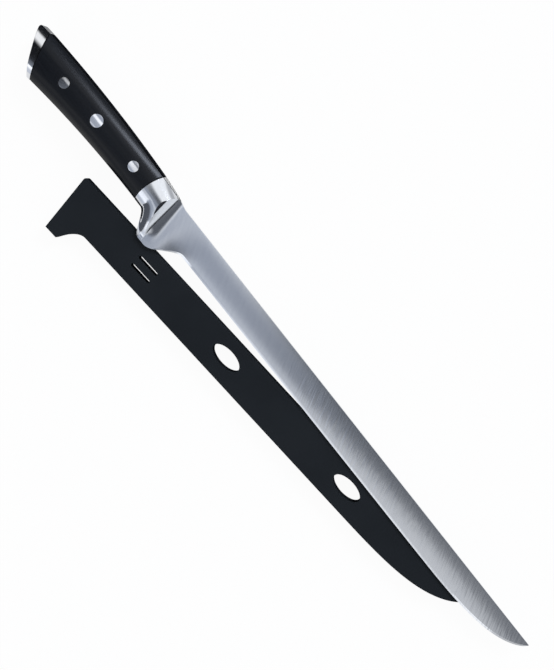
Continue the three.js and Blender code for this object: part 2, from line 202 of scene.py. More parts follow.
def edge_line(x):
    tip = BLADE_SPINE_HEIGHT - SPINE_FALL - POINT_FLAT
    sweep = 1 - (1 - point_share(x) ** POINT_POWER) ** POINT_FULLNESS
    cutting = lerp(-BLADE_EDGE_DEPTH, tip, sweep)
    heel = lerp(grip_belly(x), -HEEL_DEPTH, smoothstep(x, HEEL_BACK, HEEL_FULL))
    return lerp(heel, cutting, smoothstep(x, HEEL_LEAVE, HEEL_END))


# Half thicknesses of the handle, the bolster's collar, the cut of its facet, and the ground blade
def grip_half(x):
    run = (x + GRIP_THICKEST_AT) / (GRIP_THICKEST_AT - BOLSTER_LENGTH)
    return (GRIP_THICKNESS - (GRIP_THICKNESS - BOLSTER_THICKNESS) * run**2) / 2


def crown(full, land, share, power):
    return full - (full - land) * clamp(share) ** power


def grip_side(x, y):
    middle = grip_middle(x)
    land = SPINE_FLAT / 2 if y > middle else BELLY_FLAT / 2
    return crown(grip_half(x), land, abs(y - middle) / (grip_spine(x) - middle), CROWN_POWER)


def collar_side(x, y):
    middle = grip_middle(x)
    flare = smoothstep(x, HEEL_BACK, HEEL_FULL)
    if y >= middle:
        forward = clamp((x + BOLSTER_LENGTH) / (BOLSTER_LENGTH + FACET_FOOT))
        land = lerp(SPINE_FLAT / 2, SPINE_HALF, forward)
        return crown(grip_half(x), land, (y - middle) / (spine_line(x) - middle), CROWN_POWER)
    land = lerp(BELLY_FLAT / 2, SPINE_HALF, flare)
    foot = edge_line(x) + HEEL_LAND * flare**2
    power = lerp(CROWN_POWER, HEEL_CROWN_POWER, flare)
    depth = (middle - y) / (middle - foot)
    above = (grip_half(x) - land) * (1 - depth**power)
    return land + (above + math.hypot(above, HEEL_BLEND * math.sqrt(flare))) / 2


def along_cut(x, y):
    """Place along the blade as the skewed facet counts it."""
    return x + FACET_SKEW * y


def hollow_length(y):
    return HOLLOW_LENGTH - HOLLOW_FAN * y


def hollow_rise(y):
    slope = math.tan(HOLLOW_ANGLE) * smoothstep(y, HOLLOW_FOOT, HOLLOW_FULL)
    return slope * hollow_length(y) / HOLLOW_POWER


def facet_end(y):
    return FACET_FOOT - hollow_rise(y) / FACET_SLOPE


def hollow_end(y):
    return facet_end(y) + hollow_length(y)


def facet_cut(x, y):
    along = along_cut(x, y)
    if along > facet_end(y):
        left = clamp((hollow_end(y) - along) / hollow_length(y))
        return blade_side(x, y) + hollow_rise(y) * left**HOLLOW_POWER
    facet = SPINE_HALF + (FACET_FOOT - along) * FACET_SLOPE
    crest = CREST_HEIGHT + (CREST_AT - along) * math.tan(CREST_ANGLE)
    return min(facet, crest)


def blade_side(x, y):
    depth = (BLADE_SPINE_HEIGHT - y) / (BLADE_SPINE_HEIGHT + BLADE_EDGE_DEPTH - BEVEL_WIDTH)
    if depth > 1:
        depth = 1 + HEEL_EASE * (1 - math.exp((1 - depth) / HEEL_EASE))
    ground = lerp(SPINE_HALF, BEVEL_THICKNESS / 2, lerp(depth, depth * abs(depth), GRIND_CONVEXITY))
    taper = lerp(1, POINT_THICKNESS / SPINE_THICKNESS, point_share(x) ** 2)
    return lerp(SPINE_HALF, ground * taper, smoothstep(x, GRIND_START, GRIND_END))


def across_grip(belly_x, spine_x, share):
    """Place on the straight line across the handle from its belly to its spine."""
    low = Vector((belly_x, grip_belly(belly_x)))
    high = Vector((spine_x, grip_spine(spine_x)))
    return low.lerp(high, share)


def joint_offset(share):
    """How far the bolster's joint stands ahead of its middle length, from the belly to the spine."""
    side = 2 * share - 1
    return JOINT_SLANT * side - JOINT_BOW * (1 - side**2)


# Rivets as name, place along the handle, place across it and size of the head
RIVETS = [
    (name, -at, grip_middle(-at) + RIVET_RISE, head)
    for name, at, head in (
        ("front_rivet", FRONT_RIVET_AT, RIVET_HEAD),
        ("middle_rivet", MIDDLE_RIVET_AT, MIDDLE_RIVET_HEAD),
        ("butt_rivet", BUTT_RIVET_AT, RIVET_HEAD),
    )
]


# Where the knife and the sheath lie in the frame
def knife_place():
    name, x, y, _ = RIVETS[0]
    low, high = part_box(name + "_cup")
    rivet = (low + high) / 2
    low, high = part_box("blade")
    return Matrix.Translation((rivet.x - x, rivet.y - y, (low.z + high.z) / 2))


def sheath_place(knife):
    heel_tip = (HEEL_FULL + HEEL_LEAVE) / 2
    aside = HEEL_LAP - HEEL_DEPTH - (heel_tip + MOUTH_SETBACK) * math.tan(LAY_ANGLE)
    corner = knife @ Vector((-MOUTH_SETBACK, aside, 0))
    return Matrix.Translation((corner.x, corner.y, 0)) @ Matrix.Rotation(LAY_ANGLE, 4, "Z")


KNIFE = knife_place()
SHEATH = sheath_place(KNIFE)


# Mesh tools
WELD_DISTANCE = 1e-6
THIN_EDGE = 1e-7


def grid_sheet(bm, along, across, place):
    """A grid whose vertices move to place(i, j), with i counted along and j across."""
    made = bmesh.ops.create_grid(bm, x_segments=along, y_segments=across, size=0.5)
    for vert in made["verts"]:
        i = round((vert.co.x + 0.5) * along)
        j = round((vert.co.y + 0.5) * across)
        vert.co = place(i, j)
    return made["verts"]


def lens_body(along, across, upper, lower):
    """A closed body between two facing sheets, with a band round their rims."""
    bm = bmesh.new()
    grid_sheet(bm, along, across, upper)
    grid_sheet(bm, along, across, lower)
    rims = [edge for edge in bm.edges if edge.is_boundary]
    bmesh.ops.bridge_loops(bm, edges=rims)
    return bm


def tidy_mesh(bm):
    bmesh.ops.remove_doubles(bm, verts=bm.verts, dist=WELD_DISTANCE)
    bmesh.ops.dissolve_degenerate(bm, edges=bm.edges, dist=THIN_EDGE)
    bmesh.ops.recalc_face_normals(bm, faces=bm.faces)


def round_edges(bm, edges, radius, segments, material=-1):
    bmesh.ops.bevel(
        bm, geom=edges, offset=radius, segments=segments, profile=0.5,
        affect="EDGES", material=material, clamp_overlap=True,
    )


def finished(name, bm, place, crease, materials):
    """The mesh as an object in the frame, smooth but for edges sharper than the crease."""
    tidy_mesh(bm)
    bmesh.ops.transform(bm, matrix=place, verts=bm.verts)
    for face in bm.faces:
        face.smooth = True
    for edge in bm.edges:
        edge.smooth = edge.is_manifold and edge.calc_face_angle(0) < crease
    mesh = bpy.data.meshes.new(name)
    bm.to_mesh(mesh)
    bm.free()
    for material in materials:
        mesh.materials.append(material)
    piece = bpy.data.objects.new(name, mesh)
    bpy.context.scene.collection.objects.link(piece)
    return piece


def stands_for(piece, node, body):
    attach(piece, body)
    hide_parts(node)


# Material tools
def node(tree, kind, inputs=(), **settings):
    """A shader node with its settings and inputs; an input is a value or another node's output."""
    made = tree.nodes.new(kind)
    for key, value in settings.items():
        setattr(made, key, value)
    for key, value in dict(inputs).items():
        if isinstance(value, bpy.types.NodeSocket):
            tree.links.new(value, made.inputs[key])
        else:
            made.inputs[key].default_value = value
    return made


def new_finish(name, **sockets):
    """A material with its shader's plain values set, as its node tree and shader."""
    material = bpy.data.materials.new(name)
    material.use_nodes = True
    shader = material.node_tree.nodes["Principled BSDF"]
    for key, value in sockets.items():
        shader.inputs[key.replace("_", " ")].default_value = value
    return material, material.node_tree, shader


def object_place(tree):
    return node(tree, "ShaderNodeTexCoord").outputs["Object"]


def drawn_noise(tree, turn, size, detail=3.0):
    """Noise whose grains have the given size, turned about the three axes."""
    place = node(
        tree, "ShaderNodeMapping", {"Vector": object_place(tree), "Rotation": turn, "Scale": size},
        vector_type="TEXTURE",
    )
    noise = {"Vector": place.outputs["Vector"], "Scale": 1.0, "Detail": detail}
    return node(tree, "ShaderNodeTexNoise", noise).outputs["Fac"]


def ranged(tree, value, low, high, start=0.0, end=1.0):
    """The value, from low to high, spread smoothly from start to end."""
    inputs = {"Value": value, "From Min": low, "From Max": high, "To Min": start, "To Max": end}
    return node(tree, "ShaderNodeMapRange", inputs, interpolation_type="SMOOTHSTEP").outputs["Result"]


def math_of(tree, operation, first, second):
    return node(tree, "ShaderNodeMath", {0: first, 1: second}, operation=operation).outputs[0]


def toned(tree, value, low, high, first, second):
    """A colour that goes from the first to the second as the value goes from low to high."""
    ramp = node(tree, "ShaderNodeValToRGB", {"Fac": value})
    ramp.color_ramp.interpolation = "EASE"
    for stop, position, colour in zip(ramp.color_ramp.elements, (low, high), (first, second)):
        stop.position = position
        stop.color = (*colour, 1)
    return ramp.outputs["Color"]


def bumped(tree, shader, height, distance):
    bump = {"Height": height, "Distance": distance, "Strength": 1.0}
    tree.links.new(node(tree, "ShaderNodeBump", bump).outputs["Normal"], shader.inputs["Normal"])


# Finishes: grains and their turns, colours, ranges of roughness, and depths of the marks
UNTURNED = (0, 0, 0)
GRIND_TURN = (0, 0, math.radians(119))
GRIND_LINE = (0.016, 0.00012, 0.016)
GRIND_STREAK = (0.012, 0.0013, 0.012)
LINE_SHARE = 0.3
SATIN_START = 0.0045
SATIN_END = 0.011
STREAK_START = 0.09
STREAK_END = 0.165
STREAK_SPINE = 0.0065
STREAK_MIDDLE = 0.0005
HATCH_TURN = 0.3
WAVE_PERIOD = math.pi / 10
HATCH_PITCH = 0.0013
STREAK_WEAR = (0.5, 32.0)
STREAK_SIDES = (0.3, 1.0)
SATIN_COLOURS = ((0.65, 0.67, 0.70), (0.63, 0.65, 0.685))
SATIN_ROUGH = (0.01, 0.05)
STEEL_ROUGH = 0.1
SATIN_DEPTH = 0.000002
BUFF_TURN = (0, 0, 0.3)
BUFF_WAVE = (0.006, 0.003, 0.003)
BUFF_HAIR = (0.006, 0.0001, 0.006)
BUFF_COLOURS = ((0.74, 0.75, 0.77), (0.7, 0.715, 0.74))
BUFF_ROUGH = (0.05, 0.09)
BUFF_DEPTH = 0.00001
# Belt marks are real; the near-black colour of their grooves is painted shade
HATCH_AND_SHADE_COLOURS = ((0.02, 0.021, 0.024), (0.85, 0.86, 0.88))
HATCH_ROUGH = (0.42, 0.24)
HATCH_DEPTH = 0.00003
# Painted shade: the dark steel of the bolster's spine corner and of the end cap's spine and belly faces
PAINTED_SHADE_COLOUR = (0.09, 0.095, 0.105, 1)
PAINTED_SHADE_ROUGH = 0.4
RIVET_TURN = (0, 0, 0.1)
RIVET_HAIR = (0.004, 0.00012, 0.004)
RIVET_COLOURS = ((0.72, 0.73, 0.75), (0.82, 0.83, 0.85))
RIVET_ROUGH = (0.04, 0.08)
RIVET_DEPTH = 0.000003
SCALE_GRAIN = (0.018, 0.0005, 0.0005)
SCALE_COLOURS = ((0.007, 0.0082, 0.0108), (0.0086, 0.0102, 0.0134))
SCALE_SPECULAR = 0.15
SCALE_ROUGH = (0.21, 0.25)
SCALE_DEPTH = 0.000006
DULL_COLOURS = ((0.004, 0.0044, 0.005), (0.009, 0.0096, 0.0105))
DULL_ROUGH = (0.95, 0.8)
DULL_DEPTH = 0.00002
SHEATH_GRAIN = (0.00028, 0.00028, 0.00028)
SHEATH_CLOUD = (0.03, 0.03, 0.03)
SHEATH_COLOURS = ((0.0155, 0.018, 0.0211), (0.018, 0.0208, 0.0242))
SHEATH_ROUGH = (0.46, 0.6)
SHEATH_DEPTH = 0.00002


def satin_blade():
    """Belt-ground satin faces that run into a mirror-polished bolster."""
    material, tree, shader = new_finish("satin_blade", Metallic=1.0)
    spot = node(tree, "ShaderNodeSeparateXYZ", {"Vector": object_place(tree)}).outputs
    along, across = spot["X"], spot["Y"]
    origin, middle, _ = KNIFE.translation
    satin = ranged(tree, along, origin + SATIN_START, origin + SATIN_END)
    worn = ranged(tree, along, origin + STREAK_START, origin + STREAK_END, *STREAK_WEAR)
    inner = ranged(tree, across, middle + STREAK_SPINE, middle + STREAK_MIDDLE, *STREAK_SIDES)
    worn = math_of(tree, "MULTIPLY", worn, inner)
    line = drawn_noise(tree, GRIND_TURN, GRIND_LINE)
    streak = drawn_noise(tree, GRIND_TURN, GRIND_STREAK, 1.0)
    colour = toned(tree, streak, 0.35, 0.65, *SATIN_COLOURS)
    rough = math_of(tree, "MULTIPLY", satin, ranged(tree, line, 0.25, 0.75, *SATIN_ROUGH))
    fine = math_of(tree, "MULTIPLY", line, LINE_SHARE)
    marks = math_of(tree, "ADD", fine, math_of(tree, "MULTIPLY", streak, worn))
    tree.links.new(colour, shader.inputs["Base Color"])
    tree.links.new(math_of(tree, "ADD", rough, STEEL_ROUGH), shader.inputs["Roughness"])
    bumped(tree, shader, math_of(tree, "MULTIPLY", satin, marks), SATIN_DEPTH)
    return material


def polished_steel():
    """Mirror polish with the faint waves and hairlines that buffing leaves."""
    material, tree, shader = new_finish("polished_steel", Metallic=1.0)
    wave = drawn_noise(tree, UNTURNED, BUFF_WAVE)
    hair = drawn_noise(tree, BUFF_TURN, BUFF_HAIR)
    colour = toned(tree, wave, 0.3, 0.7, *BUFF_COLOURS)
    tree.links.new(colour, shader.inputs["Base Color"])
    tree.links.new(ranged(tree, hair, 0.3, 0.8, *BUFF_ROUGH), shader.inputs["Roughness"])
    bumped(tree, shader, wave, BUFF_DEPTH)
    return material


def belt_hatch(tree):
    """Crossing belt marks on faces that look along Y."""
    marks = []
    for turn in (HATCH_TURN, -HATCH_TURN):
        inputs = {"Vector": object_place(tree), "Rotation": (0, turn, 0), "Scale": (HATCH_PITCH,) * 3}
        place = node(tree, "ShaderNodeMapping", inputs, vector_type="TEXTURE").outputs["Vector"]
        wave = {"Vector": place, "Scale": WAVE_PERIOD, "Distortion": 1.0, "Detail": 1.0}
        marks.append(node(tree, "ShaderNodeTexWave", wave).outputs["Fac"])
    return math_of(tree, "MINIMUM", *marks)


def ground_steel():
    """Cross-hatched belt marks on the steel's spine and belly faces, their grooves painted near black
    as shade.
    """
    material, tree, shader = new_finish("ground_steel", Metallic=1.0)
    marks = belt_hatch(tree)
    colour = toned(tree, marks, 0.12, 0.4, *HATCH_AND_SHADE_COLOURS)
    tree.links.new(colour, shader.inputs["Base Color"])
    tree.links.new(ranged(tree, marks, 0.3, 0.8, *HATCH_ROUGH), shader.inputs["Roughness"])
    bumped(tree, shader, marks, HATCH_DEPTH)
    return material


def painted_shade_steel():
    """Dark steel as painted shade: a dark line on the bolster's rounded spine corner, and the end cap's
    dark spine and belly faces.
    """
    material, _, shader = new_finish("painted_shade_steel", Metallic=1.0, Roughness=PAINTED_SHADE_ROUGH)
    shader.inputs["Base Color"].default_value = PAINTED_SHADE_COLOUR
    return material


def rivet_steel():
    """Rivet heads ground flush and buffed along the handle."""
    material, tree, shader = new_finish("rivet_steel", Metallic=1.0)
    hair = drawn_noise(tree, RIVET_TURN, RIVET_HAIR)
    colour = toned(tree, hair, 0.3, 0.7, *RIVET_COLOURS)
    tree.links.new(colour, shader.inputs["Base Color"])
    tree.links.new(ranged(tree, hair, 0.25, 0.75, *RIVET_ROUGH), shader.inputs["Roughness"])
    bumped(tree, shader, hair, RIVET_DEPTH)
    return material


def black_scale():
    """Dense black laminate, waxed smooth, with a faint lengthwise grain."""
    material, tree, shader = new_finish("black_scale", Specular_IOR_Level=SCALE_SPECULAR)
    grain = drawn_noise(tree, UNTURNED, SCALE_GRAIN, 5.0)
    colour = toned(tree, grain, 0.35, 0.7, *SCALE_COLOURS)
    tree.links.new(colour, shader.inputs["Base Color"])
    tree.links.new(ranged(tree, grain, 0.3, 0.7, *SCALE_ROUGH), shader.inputs["Roughness"])
    bumped(tree, shader, grain, SCALE_DEPTH)
    return material


def ground_scale():
    """The laminate's belt-ground spine and belly faces, left dull."""
    material, tree, shader = new_finish("ground_scale", Specular_IOR_Level=0.0)
    marks = belt_hatch(tree)
    colour = toned(tree, marks, 0.4, 0.7, *DULL_COLOURS)
    tree.links.new(colour, shader.inputs["Base Color"])
    tree.links.new(ranged(tree, marks, 0.3, 0.8, *DULL_ROUGH), shader.inputs["Roughness"])
    bumped(tree, shader, marks, DULL_DEPTH)
    return material


def black_plastic():
    """Matt black moulded sheet with a fine even grain."""
    material, tree, shader = new_finish("black_plastic", Specular_IOR_Level=0.0)
    grain = drawn_noise(tree, UNTURNED, SHEATH_GRAIN, 2.0)
    cloud = drawn_noise(tree, UNTURNED, SHEATH_CLOUD)
    colour = toned(tree, cloud, 0.3, 0.7, *SHEATH_COLOURS)
    tree.links.new(colour, shader.inputs["Base Color"])
    tree.links.new(ranged(tree, grain, 0.3, 0.7, *SHEATH_ROUGH), shader.inputs["Roughness"])
    bumped(tree, shader, grain, SHEATH_DEPTH)
    return material


SATIN_BLADE = satin_blade()
POLISHED_STEEL = polished_steel()
GROUND_STEEL = ground_steel()
PAINTED_SHADE_STEEL = painted_shade_steel()
RIVET_STEEL = rivet_steel()
BLACK_SCALE = black_scale()
GROUND_SCALE = ground_scale()
BLACK_PLASTIC = black_plastic()

# Fineness of the meshes
STEEL_ROWS = 90
COLLAR_STEPS = 40
CREST_STEPS = 3
FACET_STEPS = 14
HOLLOW_STEPS = 20
HEEL_STEPS = 48
STRAIGHT_STEPS = 24
POINT_STEPS = 60
GRIP_STEPS = 120
GRIP_ROWS = 56
CAP_STEPS = 24
RIVET_SIDES = 64
CURVE_STEPS = 64
STEEL_CREASE = math.radians(8)
SOFT_CREASE = math.radians(24)
SPINE_ROUND = 0.0003
BOLSTER_ROUND = 0.0005
GRIP_ROUND = 0.0005
CAP_ROUND = BUTT_ROUND / 2
SPINE_SEGMENTS = 2
ROUND_SEGMENTS = 3
RIVET_RINGS = 8
CORNER_STEPS = 8
HALVINGS = 40
RIM_CREASE = math.radians(60)
INSET_SHARE = 1.3

# Which way a face looks, as a share of its normal, and which of its piece's finishes it takes
FACING = 0.8
SQUARELY_FACING = 0.9
FACE_FINISH = 1
PAINTED_SHADE_FINISH = 2


# Blade, bolster and tang
def steel_height(x, row):
    """Height of a row across the steel: the edge, the top of its bevel, then up to the spine."""
    low = edge_line(x)
    high = spine_line(x)
    if row == 0:
        return low
    even = (high - low) / (STEEL_ROWS + 1)
    bevel = lerp(even, min(BEVEL_WIDTH, (high - low) / 3), smoothstep(x, HEEL_FULL, HEEL_END))
    return lerp(low + bevel, high, (row - 1) / STEEL_ROWS)


def crossing(low, high, beyond):
    """The place between low and high where the test turns true, found by halving."""
    for _ in range(HALVINGS):
        middle = (low + high) / 2
        if beyond(middle):
            high = middle
        else:
            low = middle
    return high


def ridge_at(row):
    """Where the collar meets the facet's cut on one row."""
    def cut(x):
        y = steel_height(x, row)
        return collar_side(x, y) > facet_cut(x, y)

    return crossing(-BOLSTER_LENGTH, HEEL_END, cut)


def cut_place(row, limit):
    """Where one row passes a line of the skewed facet, which is given as its place at each height."""
    def passed(x):
        y = steel_height(x, row)
        return along_cut(x, y) > limit(y)

    return crossing(-BOLSTER_LENGTH, HEEL_END, passed)


def steel_stations(row):
    """Places along one row, with columns on the ridge, the crest, and the ends of facet and hollow."""
    ridge = ridge_at(row)
    crest = max(ridge, cut_place(row, lambda y: CREST_AT))
    facet = max(ridge, cut_place(row, facet_end))
    hollow = max(facet, cut_place(row, hollow_end))
    joint = joint_offset(max(row - 1, 0) / STEEL_ROWS) - BOLSTER_LENGTH
    stations = places(joint, ridge, COLLAR_STEPS)
    stations += places(ridge, crest, CREST_STEPS)[1:]
    stations += places(crest, facet, FACET_STEPS)[1:]
    stations += places(facet, hollow, HOLLOW_STEPS)[1:]
    stations += places(hollow, GRIND_END, HEEL_STEPS)[1:]
    stations += places(GRIND_END, BLADE_LENGTH - POINT_LENGTH, STRAIGHT_STEPS)[1:]
    stations += [BLADE_LENGTH - POINT_LENGTH * (1 - run) ** 2 for run in places(0, 1, POINT_STEPS)[1:]]
    return stations


def steel_half(x, row, column):
    y = steel_height(x, row)
    if column <= COLLAR_STEPS:
        return collar_side(x, y)
    if column <= COLLAR_STEPS + CREST_STEPS + FACET_STEPS + HOLLOW_STEPS:
        return facet_cut(x, y)
    side = blade_side(x, y)
    if row == 0:
        return lerp(side, EDGE_THICKNESS / 2, smoothstep(x, GRIND_START, GRIND_END))
    return side


def tang_body():
    """Flat tang between the scales, in the handle's outline."""
    front = -BOLSTER_LENGTH

    def side(half):
        def place(i, j):
            belly_x = lerp(BOND_GAP - CAP_JOINT_BELLY, front, i / GRIP_STEPS)
            spine_x = lerp(BOND_GAP - CAP_JOINT_SPINE, front, i / GRIP_STEPS)
            spot = across_grip(belly_x, spine_x, j)
            inset = TANG_INSET * (1 - 2 * j)
            return (spot.x, spot.y + inset, half)

        return place

    return lens_body(GRIP_STEPS, 1, side(TANG_HALF), side(-TANG_HALF))


def forged_blade():
    rows = [steel_stations(row) for row in range(STEEL_ROWS + 2)]

    def side(sign):
        def place(i, j):
            x = rows[j][i]
            return (x, steel_height(x, j), sign * steel_half(x, j, i))

        return place

    bm = lens_body(len(rows[0]) - 1, STEEL_ROWS + 1, side(1), side(-1))
    tidy_mesh(bm)
    for face in bm.faces:
        if face.normal.y > FACING and face.calc_center_median().x < FACET_FOOT:
            face.material_index = FACE_FINISH
    corners = [
        edge for edge in bm.edges
        if edge.is_manifold and edge.calc_face_angle() > SOFT_CREASE
        and all(face.normal.x > -SQUARELY_FACING for face in edge.link_faces)
        and any(face.normal.y > FACING for face in edge.link_faces)
    ]
    behind = [edge for edge in corners if edge.verts[0].co.x + edge.verts[1].co.x < 2 * FACET_FOOT]
    ahead = [edge for edge in corners if edge not in behind]
    round_edges(bm, ahead, SPINE_ROUND, SPINE_SEGMENTS)
    behind = [edge for edge in behind if edge.is_valid]
    # Painted shade: the rounded corner along the bolster's spine, and the faces beside it, take dark
    # steel
    for face in {face for edge in behind for face in edge.link_faces if face.normal.y < FACING}:
        face.material_index = PAINTED_SHADE_FINISH
    round_edges(bm, behind, BOLSTER_ROUND, ROUND_SEGMENTS, PAINTED_SHADE_FINISH)
    tang = tang_body()
    tidy_mesh(tang)
    for face in tang.faces:
        face.material_index = FACE_FINISH
    mesh = bpy.data.meshes.new("tang")
    tang.to_mesh(mesh)
    tang.free()
    bm.from_mesh(mesh)
    bpy.data.meshes.remove(mesh)
    piece = finished("forged_blade", bm, KNIFE, STEEL_CREASE, [SATIN_BLADE, GROUND_STEEL, PAINTED_SHADE_STEEL])
    stands_for(piece, "blade", "knife")


# Handle scales
def rivet_cutters(sign):
    bm = bmesh.new()
    for _, x, y, head in RIVETS:
        top = grip_side(x, y)
        place = Matrix.Translation((x, y, sign * top))
        bmesh.ops.create_cone(
            bm, cap_ends=True, segments=RIVET_SIDES, radius1=head / 2 + FIT_GAP,
            radius2=head / 2 + FIT_GAP, depth=2 * (RIVET_HEAD_DEPTH + BOND_GAP), matrix=place,
        )
    return finished("rivet_cutters", bm, KNIFE, SOFT_CREASE, [])


def drilled(piece, cutters):
    """The piece with the cutters taken out of its mesh."""
    cut = piece.modifiers.new("rivet_holes", "BOOLEAN")
    cut.object = cutters
    cut.solver = "EXACT"
    depsgraph = bpy.context.evaluated_depsgraph_get()
    mesh = bpy.data.meshes.new_from_object(piece.evaluated_get(depsgraph))
    piece.modifiers.clear()
    piece.data = mesh
    bpy.data.objects.remove(cutters)


def handle_scale(name, node_name, sign):
    front = -BOLSTER_LENGTH - FIT_GAP

    def side(outer):
        def place(i, j):
            run, share = i / GRIP_STEPS, j / GRIP_ROWS
            belly_x = lerp(FIT_GAP - CAP_JOINT_BELLY, front + joint_offset(0), run)
            spine_x = lerp(FIT_GAP - CAP_JOINT_SPINE, front + joint_offset(1), run)
            spot = across_grip(belly_x, spine_x, share)
            bow = joint_offset(share) - lerp(joint_offset(0), joint_offset(1), share)
            spot.x += bow * run
            half = grip_side(*spot) if outer else TANG_HALF + BOND_GAP
            return (*spot, sign * half)

        return place

    bm = lens_body(GRIP_STEPS, GRIP_ROWS, side(True), side(False))
    tidy_mesh(bm)
    for face in bm.faces:
        if abs(face.normal.y) > SQUARELY_FACING:
            face.material_index = FACE_FINISH
    corners = [
        edge for edge in bm.edges
        if edge.calc_face_angle() > SOFT_CREASE
        and all(abs(vert.co.z) > TANG_THICKNESS for vert in edge.verts)
    ]
    round_edges(bm, corners, GRIP_ROUND, ROUND_SEGMENTS)
    piece = finished(name, bm, KNIFE, SOFT_CREASE, [BLACK_SCALE, GROUND_SCALE])
    drilled(piece, rivet_cutters(sign))
    stands_for(piece, node_name, "knife")


# End cap
def end_cap():
    corner_share = BUTT_CORNER / (grip_spine(-BUTT_SPINE) - grip_belly(-BUTT_BELLY))

    def side(sign):
        def place(i, j):
            run, share = i / CAP_STEPS, j / GRIP_ROWS
            over = clamp((share - 1 + corner_share) / corner_share)
            butt = across_grip(-BUTT_BELLY, -BUTT_SPINE, share)
            joint = across_grip(-CAP_JOINT_BELLY, -CAP_JOINT_SPINE, share)
            spot = butt.lerp(joint, run)
            half = grip_side(*spot)
            rounding = BUTT_CORNER * (1 - math.sqrt(1 - over**2)) * (1 - run)
            return (spot.x + rounding, spot.y, sign * half)

        return place

    bm = lens_body(CAP_STEPS, GRIP_ROWS, side(1), side(-1))
    tidy_mesh(bm)
    # The cap's spine and belly faces take dark steel, as painted shade
    for face in bm.faces:
        if abs(face.normal.y) > SQUARELY_FACING:
            face.material_index = FACE_FINISH
    corners = [
        edge for edge in bm.edges
        if edge.calc_face_angle() > SOFT_CREASE
        and all(face.normal.x < FACING for face in edge.link_faces)
    ]
    round_edges(bm, corners, CAP_ROUND, ROUND_SEGMENTS)
    piece = finished("polished_end_cap", bm, KNIFE, SOFT_CREASE, [POLISHED_STEEL, PAINTED_SHADE_STEEL])
    stands_for(piece, "end_cap", "knife")


# Rivets
def rivet_half(name, node_name, x, y, head, sign):
    """Half a rivet turned about its axis, its head ground to the handle's crown."""
    top = grip_side(x, y)
    seat = top - RIVET_HEAD_DEPTH
    radius = head / 2
    shank = RIVET_SHANK / 2
    bm = bmesh.new()
    profile = [(reach, top) for reach in places(0, radius, RIVET_RINGS)]
    profile += [(radius, seat), (shank, seat), (shank, BOND_GAP), (0, BOND_GAP)]
    verts = [bm.verts.new((reach, 0, height)) for reach, height in profile]
    edges = [bm.edges.new(pair) for pair in zip(verts, verts[1:])]
    bmesh.ops.spin(
        bm, geom=verts + edges, cent=(0, 0, 0), axis=(0, 0, 1), angle=2 * math.pi,
        steps=RIVET_SIDES, use_merge=True,
    )
    for vert in bm.verts:
        if vert.co.z > (seat + top) / 2:
            vert.co.z += grip_side(x + vert.co.x, y + vert.co.y) - top
        vert.co.z *= sign
    bmesh.ops.translate(bm, vec=(x, y, 0), verts=bm.verts)
    piece = finished(name, bm, KNIFE, SOFT_CREASE, [RIVET_STEEL])
    stands_for(piece, node_name, "knife")


# Sheath
def sheath_outline():
    """Corner points and curves of the plates' outline, from the mouth round the tab and the nose."""
    points = [
        (MOUTH_CORNER * (1 - turn) ** 2, -MOUTH_CORNER * turn**2)
        for turn in places(0, 1, CORNER_STEPS)
    ]
    points += [(MOUTH_LEAN, -MOUTH_WIDTH), (TAB_LENGTH, -MOUTH_WIDTH)]
    for turn in places(0, 1, CURVE_STEPS // 2)[1:]:
        side = lerp(-MOUTH_WIDTH, -SHEATH_WIDTH, turn * (2 - turn))
        points.append((TAB_LENGTH + TAB_SWEEP * turn, side))
    for turn in places(0, 1, CURVE_STEPS):
        share = 1 - (1 - turn) ** 2
        depth = (1 - share**NOSE_POWER) ** NOSE_FULLNESS
        points.append((lerp(SHEATH_LENGTH - NOSE_LENGTH, SHEATH_LENGTH, share), -SHEATH_WIDTH * depth))
    return points


def closed_loop(bm, points):
    verts = [bm.verts.new((x, y, 0)) for x, y in points]
    return [bm.edges.new((verts[k - 1], verts[k])) for k in range(len(verts))]


def window_loop(bm, at, depth, length, width):
    """An oval hole's rim."""
    place = Matrix.Translation((at, -depth, 0)) @ Matrix.Diagonal((length / 2, width / 2, 1, 1))
    made = bmesh.ops.create_circle(bm, cap_ends=False, segments=CURVE_STEPS, radius=1, matrix=place)
    return [edge for vert in made["verts"] for edge in vert.link_edges]


def vent_loop(bm, depth):
    """A straight slot's rim: a circle drawn apart into two half rounds."""
    radius = VENT_WIDTH / 2
    turn = Matrix.Rotation(math.pi / CURVE_STEPS, 4, "Z")
    made = bmesh.ops.create_circle(bm, cap_ends=False, segments=CURVE_STEPS, radius=radius, matrix=turn)
    for vert in made["verts"]:
        vert.co.x += math.copysign(VENT_LENGTH / 2 - radius, vert.co.x)
    bmesh.ops.translate(bm, vec=(VENT_AT, -depth, 0), verts=made["verts"])
    return [edge for vert in made["verts"] for edge in vert.link_edges]


